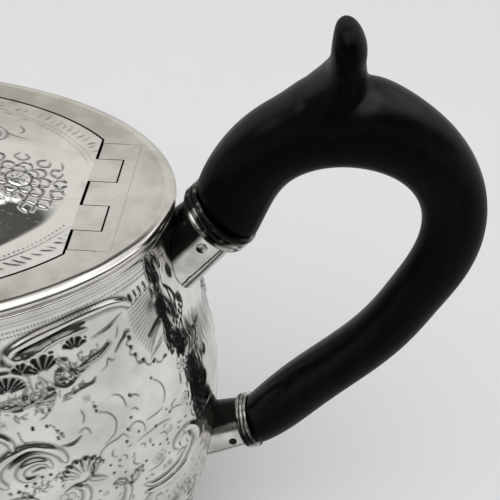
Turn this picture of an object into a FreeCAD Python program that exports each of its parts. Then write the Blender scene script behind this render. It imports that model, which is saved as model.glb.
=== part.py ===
import FreeCAD, Part
import math
import os

# Silver teapot with an oval bombe body, a flush hinged lid and a carved dark wood handle.
# Millimetres. The body's foot stands on z = 0 with its centre at the origin.
# The handle points to +X and the spout to -X.

# Clearances
SOLDER_GAP = 0.05           # film of solder between curved faces of one body
RUNNING_FIT = 0.05          # radial room of the hinge pin and of the knob's stud
HINGE_CLEAR = 0.35          # room between a knuckle and the recess it turns in
KNUCKLE_GAP = 0.2           # room between neighbouring knuckles
LID_GAP = 0.5               # room between the lid's edge and the deck
BEZEL_CLEAR = 0.7           # room between the lid's bezel and the ledge
TENON_CLEAR = 0.1           # radial room of a wood tenon in its socket

# Body
BODY_HEIGHT = 105.0         # table to the flat deck
RIM_LENGTH = 141.0          # over the rim, spout end to handle end
RIM_WIDTH = 88.0            # over the rim, side to side
BELLY_HEIGHT = 54.0         # height of the widest section
BELLY_SWELL = 7.4           # widest section, outside the rim oval
BASE_TUCK = 2.0             # lower edge of the wall, inside the rim oval
NECK_TUCK = 0.9             # upper edge of the wall, inside the rim oval
WALL = 0.9                  # sheet thickness of the body and the spout
BASE_THICKNESS = 0.9
FOOT_HEIGHT = 3.0
FOOT_STEP = 0.8             # foot ring outside the wall's lower edge
FOOT_WIDTH = 3.2
FOOT_BEVEL = 0.9

# Rim and deck
RIM_DEPTH = 3.8             # height of the rim moulding below the deck
RIM_TOP_WIDTH = 2.4         # rounded shoulder of the rim, seen from above
RIM_SHOULDER = 1.3          # the shoulder's outermost line, below the deck
RIM_GROOVE = 0.7            # depth of the groove under the shoulder
RIM_GROOVE_DROP = 2.5
RIM_BEAD = 0.35             # lower bead, inside the shoulder
RIM_BEAD_DROP = 3.2
RIM_LIP = 1.2               # seat of the deck on the rim
DECK_THICKNESS = 1.0
DECK_BORDER_END = 10.0      # rim to lid at the ends of the oval
DECK_BORDER_SIDE = 7.4      # rim to lid at the sides
LEDGE_THICKNESS = 1.0
LEDGE_LAP = 1.8             # ledge under the deck
LEDGE_REST = 2.2            # ledge under the lid

# Hinge
HINGE_LENGTH = 35.0
HINGE_PIN_DIAMETER = 1.6
HINGE_DEPTH = 1.25          # pin below the deck
KNUCKLE_DIAMETER = 5.72
KNUCKLE_LENGTH = 7.8        # each of the three middle knuckles
LEAF_TAIL = 5.6             # pin to the edge of the leaf let into the deck
LEAF_MARGIN = 0.87          # deck left outside the leaf's corners
LID_LEAF_LENGTH = 7.0       # strip under the lid
LID_LEAF_THICKNESS = 1.0

# Lid
LID_THICKNESS = 1.0
LID_FLAT_END = 10.5         # flat border of the lid at the ends of the oval
LID_FLAT_SIDE = 6.6         # flat border of the lid at the sides
LID_RISE = 7.0              # dome above the deck
LID_TOP_RADIUS = 9.0        # flat seat of the finial on the dome
BEZEL_DEPTH = 3.4
BEZEL_THICKNESS = 0.8
RIM_FITTINGS_END = 13.0     # pin to the open ends of ledge and bezel

# Finial
FINIAL_BASE_DIAMETER = 15.0
FINIAL_BASE_HEIGHT = 4.6
FINIAL_WAIST_DIAMETER = 8.4
FINIAL_CUP_DIAMETER = 11.0
FINIAL_FLANGE = 1.0
KNOB_DIAMETER = 17.0
KNOB_HEIGHT = 12.5
KNOB_SHOULDER = 7.4         # widest section above the knob's seat
KNOB_CROWN_DIAMETER = 8.0
STUD_DIAMETER = 3.0
STUD_CAP_DIAMETER = 6.0
STUD_CAP_HEIGHT = 1.8
STUD_END = 1.2              # stud below its nut
NUT_WIDTH = 7.0             # across flats
NUT_HEIGHT = 2.6
NUT_SIDES = 6

# Spout
SPOUT_ROOT_HEIGHT = 45.0    # where the spout's axis meets the wall
SPOUT_REACH = 54.0          # rim's end to the middle of the mouth
MOUTH_DROP = 1.0            # mouth below the deck
SPOUT_ROOT_DEEP = 26.0      # section at the wall, in the plane of the handle
SPOUT_ROOT_WIDE = 24.0
SPOUT_THROAT_DEEP = 19.0
SPOUT_THROAT_WIDE = 17.6
SPOUT_TIP_DEEP = 12.4
SPOUT_TIP_WIDE = 11.6
SPOUT_FLARE_LENGTH = 24.0   # wall to throat
STRAINER_HOLE = 3.0
STRAINER_PITCH = 4.4
STRAINER_RINGS = 2

# Sockets, collars and their pins
UPPER_ROOT_DROP = 12.5      # deck down to where the upper socket meets the wall
UPPER_SOCKET_ANGLE = 48.5   # rise above level
UPPER_SOCKET_LENGTH = 14.0  # wall to the collar's face
UPPER_SOCKET_DIAMETER = 13.4
UPPER_COLLAR_DIAMETER = 16.4
UPPER_COLLAR_LENGTH = 4.0
LOWER_ROOT_DROP = 69.7
LOWER_SOCKET_ANGLE = 22.0
LOWER_SOCKET_LENGTH = 10.9
LOWER_SOCKET_DIAMETER = 11.4
LOWER_COLLAR_DIAMETER = 13.2
LOWER_COLLAR_LENGTH = 2.8
SOCKET_WALL = 0.9
SOCKET_FLARE = 0.9          # growth of the socket's radius towards the body
COLLAR_REEDS = 3
TENON_END = 1.2             # wood past a pin
UPPER_PIN_DIAMETER = 2.2
LOWER_PIN_DIAMETER = 1.8
PIN_TO_COLLAR = 1.6         # edge of a pin to the back of its collar
PIN_PROUD = 0.2

# Handle: centre line as (beyond the rim's end, above the deck, thickness in the line's plane)
HANDLE_LINE = [
    (14.0, 7.0, 15.2),
    (19.8, 14.2, 15.6),
    (30.5, 18.9, 16.4),
    (42.2, 17.3, 15.8),
    (52.2, 8.0, 13.4),
    (55.1, -3.5, 12.6),
    (51.9, -16.8, 12.3),
    (44.6, -31.4, 12.3),
    (35.2, -43.6, 12.7),
    (25.3, -55.2, 13.2),
]
HANDLE_UPPER_END = 16.0
HANDLE_LOWER_END = 12.8
HANDLE_FLATNESS = 0.88      # thickness across the line, against thickness in its plane

# Thumb rest: (beyond the rim's end, above the deck, thickness, width) from its root to its tip
THUMB_LINE = [
    (29.5, 19.5, 15.0, 13.6),
    (31.0, 27.5, 9.6, 13.8),
    (32.2, 33.0, 6.0, 13.6),
    (32.0, 37.2, 4.6, 11.0),
    (31.4, 39.9, 2.2, 5.8),
]

RIM_X = RIM_LENGTH / 2
RIM_Y = RIM_WIDTH / 2
DECK = BODY_HEIGHT
WALL_TOP = BODY_HEIGHT - RIM_DEPTH
WALL_LEVELS = 9
RIM_SHOULDER_STEPS = 6
LID_X = RIM_X - DECK_BORDER_END
LID_Y = RIM_Y - DECK_BORDER_SIDE
LID_TOP = DECK + LID_RISE
DECK_X = RIM_X - RIM_TOP_WIDTH - SOLDER_GAP
DECK_Y = RIM_Y - RIM_TOP_WIDTH - SOLDER_GAP
LEAF_CORNER_X = DECK_X * math.sqrt(1 - (HINGE_LENGTH / 2 / DECK_Y) ** 2) - LEAF_MARGIN
HINGE_X = LEAF_CORNER_X - LEAF_TAIL
HINGE_Z = DECK - HINGE_DEPTH
KNUCKLE_RADIUS = KNUCKLE_DIAMETER / 2
LID_CUT_X = HINGE_X - KNUCKLE_RADIUS - HINGE_CLEAR
FAR = RIM_LENGTH + RIM_WIDTH


def vector(x, y, z):
    return FreeCAD.Vector(x, y, z)


def oval(semi_x, semi_y, z):
    """Level ellipse about the body's axis."""
    ellipse = Part.Ellipse(vector(0, 0, z), semi_x, semi_y)
    return Part.Wire([ellipse.toShape()])


def oval_plate(semi_x, semi_y, bottom, top):
    face = Part.Face(oval(semi_x, semi_y, bottom))
    return face.extrude(vector(0, 0, top - bottom))


def oval_ring(outer, inner, bottom, top):
    return oval_plate(*outer, bottom, top).cut(oval_plate(*inner, bottom, top))


def oval_sections(profile):
    """Level ovals: the rim oval grown by each (offset, height)."""
    return [oval(RIM_X + offset, RIM_Y + offset, z) for offset, z in profile]


def block(x0, x1, half_y, z0, z1):
    return Part.makeBox(x1 - x0, 2 * half_y, z1 - z0, vector(x0, -half_y, z0))


def cylinder_y(x, z, radius, y0, y1):
    return Part.makeCylinder(radius, y1 - y0, vector(x, y0, z), vector(0, 1, 0))


def turned(edges):
    """Solid of revolution about Z from the edges of a closed (radius, 0, height) outline."""
    face = Part.Face(Part.Wire(edges))
    return face.revolve(vector(0, 0, 0), vector(0, 0, 1), 360)


def polyline(points):
    """Straight edges through (radius, height) points."""
    corners = [vector(r, 0, z) for r, z in points]
    return [Part.LineSegment(a, b).toShape() for a, b in zip(corners[:-1], corners[1:])]


def curve(points):
    """One smooth edge through (radius, height) points."""
    spline = Part.BSplineCurve()
    spline.interpolate([vector(r, 0, z) for r, z in points])
    return spline.toShape()


def across(centre, direction, half_plane, half_wide):
    """Ellipse square to a direction in the XZ plane: half_plane in that plane, half_wide along Y."""
    normal = vector(-direction.z, 0, direction.x)
    side = vector(0, 1, 0)
    if half_plane >= half_wide:
        ellipse = Part.Ellipse(centre + normal * half_plane, centre + side * half_wide, centre)
    else:
        ellipse = Part.Ellipse(centre + side * half_wide, centre - normal * half_plane, centre)
    return Part.Wire([ellipse.toShape()])


def wall_offset(z):
    """Distance of the wall's outer face outside the rim oval at a height."""
    if z <= BELLY_HEIGHT:
        t = (BELLY_HEIGHT - z) / (BELLY_HEIGHT - FOOT_HEIGHT)
        return BELLY_SWELL - (BELLY_SWELL + BASE_TUCK) * t ** 2
    t = (z - BELLY_HEIGHT) / (WALL_TOP - BELLY_HEIGHT)
    return BELLY_SWELL - (BELLY_SWELL + NECK_TUCK) * (1.8 * t ** 2 - 0.8 * t ** 3)


def wall_solid(grow):
    """The body's outline filled in, grown outwards."""
    step = (WALL_TOP - FOOT_HEIGHT) / (WALL_LEVELS - 1)
    heights = [FOOT_HEIGHT + step * level for level in range(WALL_LEVELS)]
    return Part.makeLoft(oval_sections([(wall_offset(z) + grow, z) for z in heights]), True, False)


def rim_profile():
    """The rim's outer outline from the neck up: bead, groove and rounded shoulder."""
    profile = [
        (-NECK_TUCK, WALL_TOP),
        (-RIM_BEAD, DECK - RIM_BEAD_DROP - RIM_BEAD / 2),
        (-RIM_BEAD, DECK - RIM_BEAD_DROP + RIM_BEAD / 2),
        (-RIM_GROOVE, DECK - RIM_GROOVE_DROP),
    ]
    for step in range(-2, RIM_SHOULDER_STEPS + 1):
        turn = math.radians(90) * step / RIM_SHOULDER_STEPS
        inset = RIM_TOP_WIDTH * (1 - math.cos(turn))
        profile.append((-inset, DECK - RIM_SHOULDER + RIM_SHOULDER * math.sin(turn)))
    return profile


def rim_solid(grow):
    """The rim's outline filled in, grown outwards."""
    profile = [(offset + grow, z) for offset, z in rim_profile()]
    return Part.makeLoft(oval_sections(profile), True, True)


def body_shell():
    shell = wall_solid(0).cut(wall_solid(-WALL))
    end = -(RIM_X + wall_offset(SPOUT_ROOT_HEIGHT))
    hole_length = 4 * BELLY_SWELL
    for ring in range(STRAINER_RINGS + 1):
        count = max(1, 6 * ring)
        for index in range(count):
            angle = 2 * math.pi * index / count
            y = ring * STRAINER_PITCH * math.cos(angle)
            z = SPOUT_ROOT_HEIGHT + ring * STRAINER_PITCH * math.sin(angle)
            start = vector(end - hole_length / 2, y, z)
            shell = shell.cut(Part.makeCylinder(STRAINER_HOLE / 2, hole_length, start, vector(1, 0, 0)))
    return shell


def base_plate():
    inset = wall_offset(FOOT_HEIGHT) - WALL - SOLDER_GAP
    return oval_plate(RIM_X + inset, RIM_Y + inset, FOOT_HEIGHT, FOOT_HEIGHT + BASE_THICKNESS)


def foot_ring():
    outer = FOOT_STEP - BASE_TUCK
    inner = outer - FOOT_WIDTH
    shoulder = FOOT_HEIGHT - FOOT_BEVEL
    profile = [(outer, 0), (outer, shoulder), (outer - FOOT_BEVEL, FOOT_HEIGHT)]
    foot = Part.makeLoft(oval_sections(profile), True, True)
    return foot.cut(oval_plate(RIM_X + inner, RIM_Y + inner, 0, FOOT_HEIGHT))


def rim_moulding():
    bore = RIM_TOP_WIDTH + RIM_LIP
    seat = DECK - DECK_THICKNESS
    section = rim_profile() + [(-RIM_TOP_WIDTH, seat), (-bore, seat), (-bore, WALL_TOP)]
    return Part.makeLoft(oval_sections(section), True, True, True)


def deck_oval():
    return oval_plate(DECK_X, DECK_Y, DECK - DECK_THICKNESS, DECK)


def lid_opening(bottom, top):
    opening = oval_plate(LID_X + LID_GAP, LID_Y + LID_GAP, bottom, top)
    return opening.common(block(-FAR, LID_CUT_X + LID_GAP, FAR, bottom, top))


def deck_plate():
    bottom = DECK - DECK_THICKNESS
    half = HINGE_LENGTH / 2 + SOLDER_GAP
    notch = block(LID_CUT_X - LID_GAP, LEAF_CORNER_X + SOLDER_GAP, half, bottom, DECK)
    return deck_oval().cut(lid_opening(bottom, DECK)).cut(notch)


def lid_ledge():
    top = DECK - DECK_THICKNESS
    outer = (LID_X + LID_GAP + LEDGE_LAP, LID_Y + LID_GAP + LEDGE_LAP)
    inner = (LID_X - LEDGE_REST, LID_Y - LEDGE_REST)
    ring = oval_ring(outer, inner, top - LEDGE_THICKNESS, top)
    return ring.common(block(-FAR, HINGE_X - RIM_FITTINGS_END, FAR, top - LEDGE_THICKNESS, top))


def knuckle_spans():
    """Lengthwise spans of the five knuckles along Y, with the deck's at even places."""
    middle = KNUCKLE_LENGTH
    edges = [-HINGE_LENGTH / 2, -1.5 * middle, -0.5 * middle, 0.5 * middle, 1.5 * middle, HINGE_LENGTH / 2]
    return [(a + KNUCKLE_GAP / 2, b - KNUCKLE_GAP / 2) for a, b in zip(edges[:-1], edges[1:])]


def knuckle(span, root_x, root_depth):
    """One knuckle with its top cut flush, and the root that joins it to its leaf."""
    y0, y1 = span
    barrel = cylinder_y(HINGE_X, HINGE_Z, KNUCKLE_RADIUS, y0, y1)
    root = Part.makeBox(abs(root_x - HINGE_X), y1 - y0, root_depth,
                        vector(min(root_x, HINGE_X), y0, DECK - root_depth))
    flush = Part.makeBox(2 * FAR, FAR, FAR, vector(-FAR, -FAR / 2, DECK))
    return barrel.fuse(root).cut(flush)


def drill_hinge(leaf):
    bore = HINGE_PIN_DIAMETER / 2 + RUNNING_FIT
    return leaf.cut(cylinder_y(HINGE_X, HINGE_Z, bore, -HINGE_LENGTH, HINGE_LENGTH)).removeSplitter()


def deck_hinge_leaf():
    half = HINGE_LENGTH / 2
    bottom = DECK - DECK_THICKNESS
    leaf = block(HINGE_X, LEAF_CORNER_X, half, bottom, DECK)
    leaf = leaf.cut(cylinder_y(HINGE_X, HINGE_Z, KNUCKLE_RADIUS + HINGE_CLEAR, -half, half))
    for span in knuckle_spans()[0::2]:
        leaf = leaf.fuse(knuckle(span, LEAF_CORNER_X, DECK_THICKNESS))
    barrels = block(HINGE_X - LEAF_TAIL, HINGE_X + KNUCKLE_RADIUS, half, HINGE_Z - LEAF_TAIL, bottom)
    return drill_hinge(leaf.common(deck_oval().fuse(barrels)))


def lid_hinge_leaf():
    top = DECK - LID_THICKNESS
    depth = LID_THICKNESS + LID_LEAF_THICKNESS
    half = HINGE_LENGTH / 2 - SOLDER_GAP
    leaf = block(LID_CUT_X - LID_LEAF_LENGTH, LID_CUT_X, half, top - LID_LEAF_THICKNESS, top)
    for span in knuckle_spans()[1::2]:
        leaf = leaf.fuse(knuckle(span, LID_CUT_X, depth))
    return drill_hinge(leaf)


def hinge_pin():
    half = HINGE_LENGTH / 2
    return cylinder_y(HINGE_X, HINGE_Z, HINGE_PIN_DIAMETER / 2, -half, half)


def lid_sections(drop):
    """Level ovals of the lid's upper face, lowered: edge, flat border, dome and finial seat."""
    flat_x = LID_X - LID_FLAT_END
    flat_y = LID_Y - LID_FLAT_SIDE
    sections = []
    for u in (1.0, 0.86, 0.72, 0.56, 0.4, 0.2, 0.0):
        semi_x = LID_TOP_RADIUS + (flat_x - LID_TOP_RADIUS) * u
        semi_y = LID_TOP_RADIUS + (flat_y - LID_TOP_RADIUS) * u
        rise = LID_RISE * (1 - u ** 2) ** 1.5
        sections.append(oval(semi_x, semi_y, DECK - drop + rise))
    return sections


def lid_plate():
    bottom = DECK - LID_THICKNESS
    plate = oval_plate(LID_X, LID_Y, bottom, DECK)
    dome = Part.makeLoft(lid_sections(0), True, False)
    hollow = Part.makeLoft(lid_sections(LID_THICKNESS), True, False)
    plate = plate.fuse(dome).cut(hollow)
    plate = plate.cut(block(LID_CUT_X, FAR, FAR, bottom - LID_RISE, DECK + LID_RISE))
    bore = STUD_DIAMETER / 2 + RUNNING_FIT
    return plate.cut(Part.makeCylinder(bore, 2 * LID_RISE + LID_TOP_RADIUS, vector(0, 0, DECK - LID_RISE)))


def lid_bezel():
    top = DECK - LID_THICKNESS
    inset = LEDGE_REST + BEZEL_CLEAR
    outer = (LID_X - inset, LID_Y - inset)
    inner = (outer[0] - BEZEL_THICKNESS, outer[1] - BEZEL_THICKNESS)
    ring = oval_ring(outer, inner, top - BEZEL_DEPTH, top)
    return ring.common(block(-FAR, HINGE_X - RIM_FITTINGS_END, FAR, top - BEZEL_DEPTH, top))


def finial_base():
    bore = STUD_DIAMETER / 2 + RUNNING_FIT
    foot = FINIAL_BASE_DIAMETER / 2
    waist = FINIAL_WAIST_DIAMETER / 2
    cup = FINIAL_CUP_DIAMETER / 2
    top = FINIAL_BASE_HEIGHT
    middle = (FINIAL_FLANGE + top) / 2
    cove = curve([(foot - FINIAL_FLANGE, FINIAL_FLANGE), (waist, middle), (cup, top)])
    edges = polyline([(bore, top), (bore, 0), (foot, 0), (foot, FINIAL_FLANGE / 2),
                      (foot - FINIAL_FLANGE, FINIAL_FLANGE)])
    return turned(edges + [cove] + polyline([(cup, top), (bore, top)])).translate(vector(0, 0, LID_TOP))


def knob_seat():
    return LID_TOP + FINIAL_BASE_HEIGHT


def finial_knob():
    bore = STUD_DIAMETER / 2 + RUNNING_FIT
    foot = FINIAL_CUP_DIAMETER / 2
    crown = KNOB_CROWN_DIAMETER / 2
    side = curve([(foot, 0), (KNOB_DIAMETER / 2, KNOB_SHOULDER), (crown, KNOB_HEIGHT)])
    edges = polyline([(crown, KNOB_HEIGHT), (bore, KNOB_HEIGHT), (bore, 0), (foot, 0)])
    return turned([side] + edges).translate(vector(0, 0, knob_seat()))


def finial_stud():
    radius = STUD_DIAMETER / 2
    cap = STUD_CAP_DIAMETER / 2
    seat = knob_seat() + KNOB_HEIGHT
    top = seat + STUD_CAP_HEIGHT
    bottom = LID_TOP - LID_THICKNESS - NUT_HEIGHT - STUD_END
    dome = curve([(0, top), (cap * 0.7, seat + STUD_CAP_HEIGHT * 0.7), (cap, seat)])
    edges = polyline([(cap, seat), (radius, seat), (radius, bottom), (0, bottom), (0, top)])
    return turned([dome] + edges)


def finial_nut():
    top = LID_TOP - LID_THICKNESS
    corner = NUT_WIDTH / 2 / math.cos(math.pi / NUT_SIDES)
    turns = [2 * math.pi * side / NUT_SIDES for side in range(NUT_SIDES + 1)]
    outline = [vector(corner * math.cos(a), corner * math.sin(a), top - NUT_HEIGHT) for a in turns]
    nut = Part.Face(Part.makePolygon(outline)).extrude(vector(0, 0, NUT_HEIGHT))
    bore = STUD_DIAMETER / 2 + RUNNING_FIT
    return nut.cut(Part.makeCylinder(bore, NUT_HEIGHT, vector(0, 0, top - NUT_HEIGHT)))


def spout_solid(thinner):
    """The spout's outline filled in, from inside the body to past the mouth."""
    root = vector(-(RIM_X + wall_offset(SPOUT_ROOT_HEIGHT)), 0, SPOUT_ROOT_HEIGHT)
    tip = vector(-(RIM_X + SPOUT_REACH), 0, DECK - MOUTH_DROP)
    axis = (tip - root).normalize()
    length = (tip - root).Length
    over = SPOUT_TIP_DEEP
    taper_deep = (SPOUT_THROAT_DEEP - SPOUT_TIP_DEEP) / (length - SPOUT_FLARE_LENGTH)
    taper_wide = (SPOUT_THROAT_WIDE - SPOUT_TIP_WIDE) / (length - SPOUT_FLARE_LENGTH)
    stations = [
        (-1.2 * SPOUT_ROOT_DEEP, SPOUT_ROOT_DEEP, SPOUT_ROOT_WIDE),
        (0, SPOUT_ROOT_DEEP, SPOUT_ROOT_WIDE),
        (SPOUT_FLARE_LENGTH, SPOUT_THROAT_DEEP, SPOUT_THROAT_WIDE),
        (length, SPOUT_TIP_DEEP, SPOUT_TIP_WIDE),
        (length + over, SPOUT_TIP_DEEP - taper_deep * over, SPOUT_TIP_WIDE - taper_wide * over),
    ]
    sections = []
    for along, deep, wide in stations:
        sections.append(across(root + axis * along, axis, deep / 2 - thinner, wide / 2 - thinner))
    return Part.makeLoft(sections, True, False)


def spout():
    tube = spout_solid(0).cut(spout_solid(WALL))
    mouth = DECK - MOUTH_DROP
    tube = tube.cut(block(-2 * FAR, 0, FAR, mouth, mouth + FAR))
    return tube.cut(wall_solid(SOLDER_GAP))


class Socket:
    """A tube on the body's end that takes one end of the handle."""

    def __init__(self, root_drop, angle, length, diameter, collar_diameter, collar_length, pin_diameter):
        height = DECK - root_drop
        self.angle = math.radians(angle)
        self.axis = vector(math.cos(self.angle), 0, math.sin(self.angle))
        self.root = vector(RIM_X + wall_offset(height), 0, height)
        self.face = self.root + self.axis * length
        self.length = length
        self.radius = diameter / 2
        self.bore = diameter / 2 - SOCKET_WALL
        self.collar_radius = collar_diameter / 2
        self.collar_length = collar_length
        self.pin_radius = pin_diameter / 2
        self.pin_depth = collar_length + PIN_TO_COLLAR + self.pin_radius

    def place(self, shape):
        """Turn a shape from the Z axis onto the socket's axis, with z = 0 at the collar's face."""
        turn = FreeCAD.Rotation(vector(0, 1, 0), 90 - math.degrees(self.angle))
        shape.Placement = FreeCAD.Placement(self.face, turn)
        return shape

    def tube(self):
        collar_back = -self.collar_length
        back = -self.length - 2 * self.radius
        flared = self.radius + SOCKET_FLARE * (collar_back - back) / self.length
        outer = [(self.bore, 0), (self.radius, 0), (self.radius, collar_back), (flared, back)]
        inner = [(flared - SOCKET_WALL, back), (self.bore, collar_back), (self.bore, 0)]
        tube = self.place(turned(polyline(outer + inner)))
        return tube.cut(wall_solid(SOLDER_GAP)).cut(rim_solid(SOLDER_GAP)).cut(self.pin_hole())

    def collar(self):
        bore = self.radius + SOLDER_GAP
        pitch = self.collar_length / COLLAR_REEDS
        valley = self.collar_radius - pitch / 2
        edges = []
        for reed in range(COLLAR_REEDS):
            low = -self.collar_length + reed * pitch
            arc = Part.Arc(vector(valley, 0, low), vector(self.collar_radius, 0, low + pitch / 2),
                           vector(valley, 0, low + pitch))
            edges.append(arc.toShape())
        back = -self.collar_length
        edges += polyline([(valley, 0), (bore, 0), (bore, back), (valley, back)])
        return self.place(turned(edges)).cut(rim_solid(SOLDER_GAP))

    def pin(self, radius):
        half = self.radius + SOCKET_FLARE * (self.pin_depth - self.collar_length) / self.length + PIN_PROUD
        middle = self.face - self.axis * self.pin_depth
        return Part.makeCylinder(radius, 2 * half, middle - vector(0, half, 0), vector(0, 1, 0))

    def rivet(self):
        return self.pin(self.pin_radius)

    def pin_hole(self):
        return self.pin(self.pin_radius + SOLDER_GAP)

    def tenon(self):
        depth = self.pin_depth + self.pin_radius + TENON_END
        return self.place(Part.makeCylinder(self.bore - TENON_CLEAR, depth, vector(0, 0, -depth)))


def handle_grip(upper, lower):
    """Bent grip between the two collars, through ellipses square to its centre line."""
    points = [upper.face] + [vector(RIM_X + out, 0, DECK + up) for out, up, _ in HANDLE_LINE] + [lower.face]
    depths = [HANDLE_UPPER_END] + [depth for _, _, depth in HANDLE_LINE] + [HANDLE_LOWER_END]
    line = Part.BSplineCurve()
    line.interpolate(points)
    directions = [vector(*line.tangent(line.parameter(point))[0]) for point in points]
    directions[0] = upper.axis
    directions[-1] = lower.axis * -1
    sections = []
    for point, direction, depth in zip(points, directions, depths):
        sections.append(across(point, direction, depth / 2, depth * HANDLE_FLATNESS / 2))
    return Part.makeLoft(sections, True, False)


def thumb_rest():
    """Leaf that stands up from the grip and curls over towards the lid."""
    sections = []
    for out, up, depth, width in THUMB_LINE:
        centre = vector(RIM_X + out, 0, DECK + up)
        sections.append(across(centre, vector(0, 0, 1), depth / 2, width / 2))
    return Part.makeLoft(sections, True, False)


def handle(upper, lower):
    wood = handle_grip(upper, lower).fuse(thumb_rest())
    for socket in (upper, lower):
        wood = wood.fuse(socket.tenon()).cut(socket.pin_hole())
    return wood.removeSplitter()


def build():
    upper = Socket(UPPER_ROOT_DROP, UPPER_SOCKET_ANGLE, UPPER_SOCKET_LENGTH, UPPER_SOCKET_DIAMETER,
                   UPPER_COLLAR_DIAMETER, UPPER_COLLAR_LENGTH, UPPER_PIN_DIAMETER)
    lower = Socket(LOWER_ROOT_DROP, LOWER_SOCKET_ANGLE, LOWER_SOCKET_LENGTH, LOWER_SOCKET_DIAMETER,
                   LOWER_COLLAR_DIAMETER, LOWER_COLLAR_LENGTH, LOWER_PIN_DIAMETER)
    return {
        "body_shell": body_shell(),
        "base_plate": base_plate(),
        "foot_ring": foot_ring(),
        "rim_moulding": rim_moulding(),
        "deck_plate": deck_plate(),
        "lid_ledge": lid_ledge(),
        "deck_hinge_leaf": deck_hinge_leaf(),
        "hinge_pin": hinge_pin(),
        "spout": spout(),
        "upper_socket": upper.tube(),
        "upper_collar": upper.collar(),
        "upper_handle_pin": upper.rivet(),
        "lower_socket": lower.tube(),
        "lower_collar": lower.collar(),
        "lower_handle_pin": lower.rivet(),
        "handle": handle(upper, lower),
        "lid_plate": lid_plate(),
        "lid_hinge_leaf": lid_hinge_leaf(),
        "lid_bezel": lid_bezel(),
        "finial_base": finial_base(),
        "finial_knob": finial_knob(),
        "finial_stud": finial_stud(),
        "finial_nut": finial_nut(),
    }


os.makedirs("parts", exist_ok=True)
for name, shape in build().items():
    print(f"{name}: {len(shape.Solids)} solid, {shape.Volume:.1f} mm3, valid {shape.isValid()}")
    shape.exportStep(f"parts/{name}.step")
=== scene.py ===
import math

import bmesh
import bpy
import numpy as np
from mathutils import Matrix, Vector


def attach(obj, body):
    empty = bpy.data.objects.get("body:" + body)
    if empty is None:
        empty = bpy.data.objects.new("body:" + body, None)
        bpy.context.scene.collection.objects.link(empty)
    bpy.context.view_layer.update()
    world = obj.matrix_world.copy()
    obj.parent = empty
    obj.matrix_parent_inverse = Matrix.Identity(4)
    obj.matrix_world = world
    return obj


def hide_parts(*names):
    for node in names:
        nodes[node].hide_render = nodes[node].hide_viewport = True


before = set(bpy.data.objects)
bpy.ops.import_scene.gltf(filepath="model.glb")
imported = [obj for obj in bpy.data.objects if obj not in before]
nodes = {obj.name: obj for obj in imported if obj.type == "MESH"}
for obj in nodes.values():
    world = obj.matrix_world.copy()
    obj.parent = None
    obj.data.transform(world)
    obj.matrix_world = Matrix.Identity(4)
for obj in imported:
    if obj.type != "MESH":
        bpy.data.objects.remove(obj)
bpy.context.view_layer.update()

# Silver teapot: chased wall and lid, plain polished deck and hinge, black wood handle.
# Lengths in the functions below are millimetres, and MM turns them into the frame's metres.

MM = 0.001

RIM_X, RIM_Y = 70.5, 44.0
DECK = 105.0
WALL_TOP = 101.2
FOOT_TOP = 3.0
BELLY = 54.0
SWELL = 7.4
NECK_IN = 0.9
FOOT_IN = 2.0
WALL = 0.9
LID_X, LID_Y = 60.5, 36.6
LID_CUT = 52.04
LID_SHEET = 1.0
STUD_HOLE = 1.56
KNOB_SEAT = 8.4
DOME_TOP = 9
DOME_X, DOME_Y = 50, 30
DOME_RISE = 7.0
GROUND = -0.30
DEEPEST = -0.72
MAP_PITCH = 0.2

# Places where a fitting is soldered on: half its width round the wall, half its height, and its middle.
UPPER_SEAT = (8.4, 11.6, 92.5)
LOWER_SEAT = (6.6, 7.2, 35.3)
SPOUT_SEAT = (12.2, 21.0, 45.0)
SPOUT_WALL = -77.5
HOLE_RADIUS = 1.5
HOLE_PITCH = 4.4

LID_FLOWER = (39.0, 0.4)
GRIP_VOXEL = 0.55
THUMB_EDGE = [(100.1, 39.3), (100.5, 37.4), (101.1, 35.0), (101.7, 32.4), (101.8, 30.1), (101.1, 27.8),
              (99.8, 25.7), (98.0, 24.0), (95.8, 22.5)]

# Finishes, in metres where they name a place: the middle of a paler, less tarnished spot near the hinge, and
# each socket's seam as its plane's direction and distance, and the distances between which its far side is
# painted dark, a painted reflection.
PALE_SPOT = (0.047, -0.004, 0.105)
UPPER_SEAM_AND_REFLECTION = ((-0.749, 0, 0.663), 0.0047, (0.0044, 0.0058))
LOWER_SEAM_AND_REFLECTION = ((-0.375, 0, 0.927), 0.0022, (0.0052, 0.0068))
CLEAN_SILVER = (0.9, 0.89, 0.86, 1)
DULL_SILVER = (0.5, 0.482, 0.43, 1)
# Black for oxide and stains, and for painted shade and painted dark reflections.
BLACK_SHADE_AND_OXIDE = (0.014, 0.013, 0.012, 1)
BLACK_WOOD = (0.0005, 0.0006, 0.0008, 1)
BROWN_STREAK = (0.0055, 0.0042, 0.0035, 1)
TABLE_PAINT = ((0.785, 0.795, 0.81, 1), (0.81, 0.82, 0.84, 1))

# The room's brightness by height, on the camera's side and on the far side. Lamps and camera in metres.
ROOM_NEAR = [(0.0, 0.74), (0.05, 0.74), (0.1, 0.07), (0.54, 0.05), (0.63, 0.8), (1.0, 0.95)]
ROOM_FAR = [(0.0, 0.74), (0.12, 0.74), (0.3, 0.88), (0.7, 0.9), (0.79, 0.1), (0.88, 0.1), (0.93, 1.0),
            (1.0, 0.95)]
ROOM_LEVEL = 0.8
LAMPS = (("soft_box", (-0.35, -0.55, 1.5), 2.2, 15.0), ("fill_box", (0.9, 0.2, 1.3), 1.4, 4.5))
LAMPS_AIM = (0.03, 0, 0.06)
CAMERA_AT = (0.09897, -0.15562, 0.22608)
CAMERA_DOWN = 40.552
CAMERA_TURN = 4.984
LENS = 72
SENSOR = 36

turns = np.linspace(0, math.pi / 2, 1201)
girth = np.hypot(np.diff((RIM_X + SWELL) * np.cos(turns)), np.diff((RIM_Y + SWELL) * np.sin(turns)))
girth = np.concatenate([[0], np.cumsum(girth)])
QUARTER = girth[-1]


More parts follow.
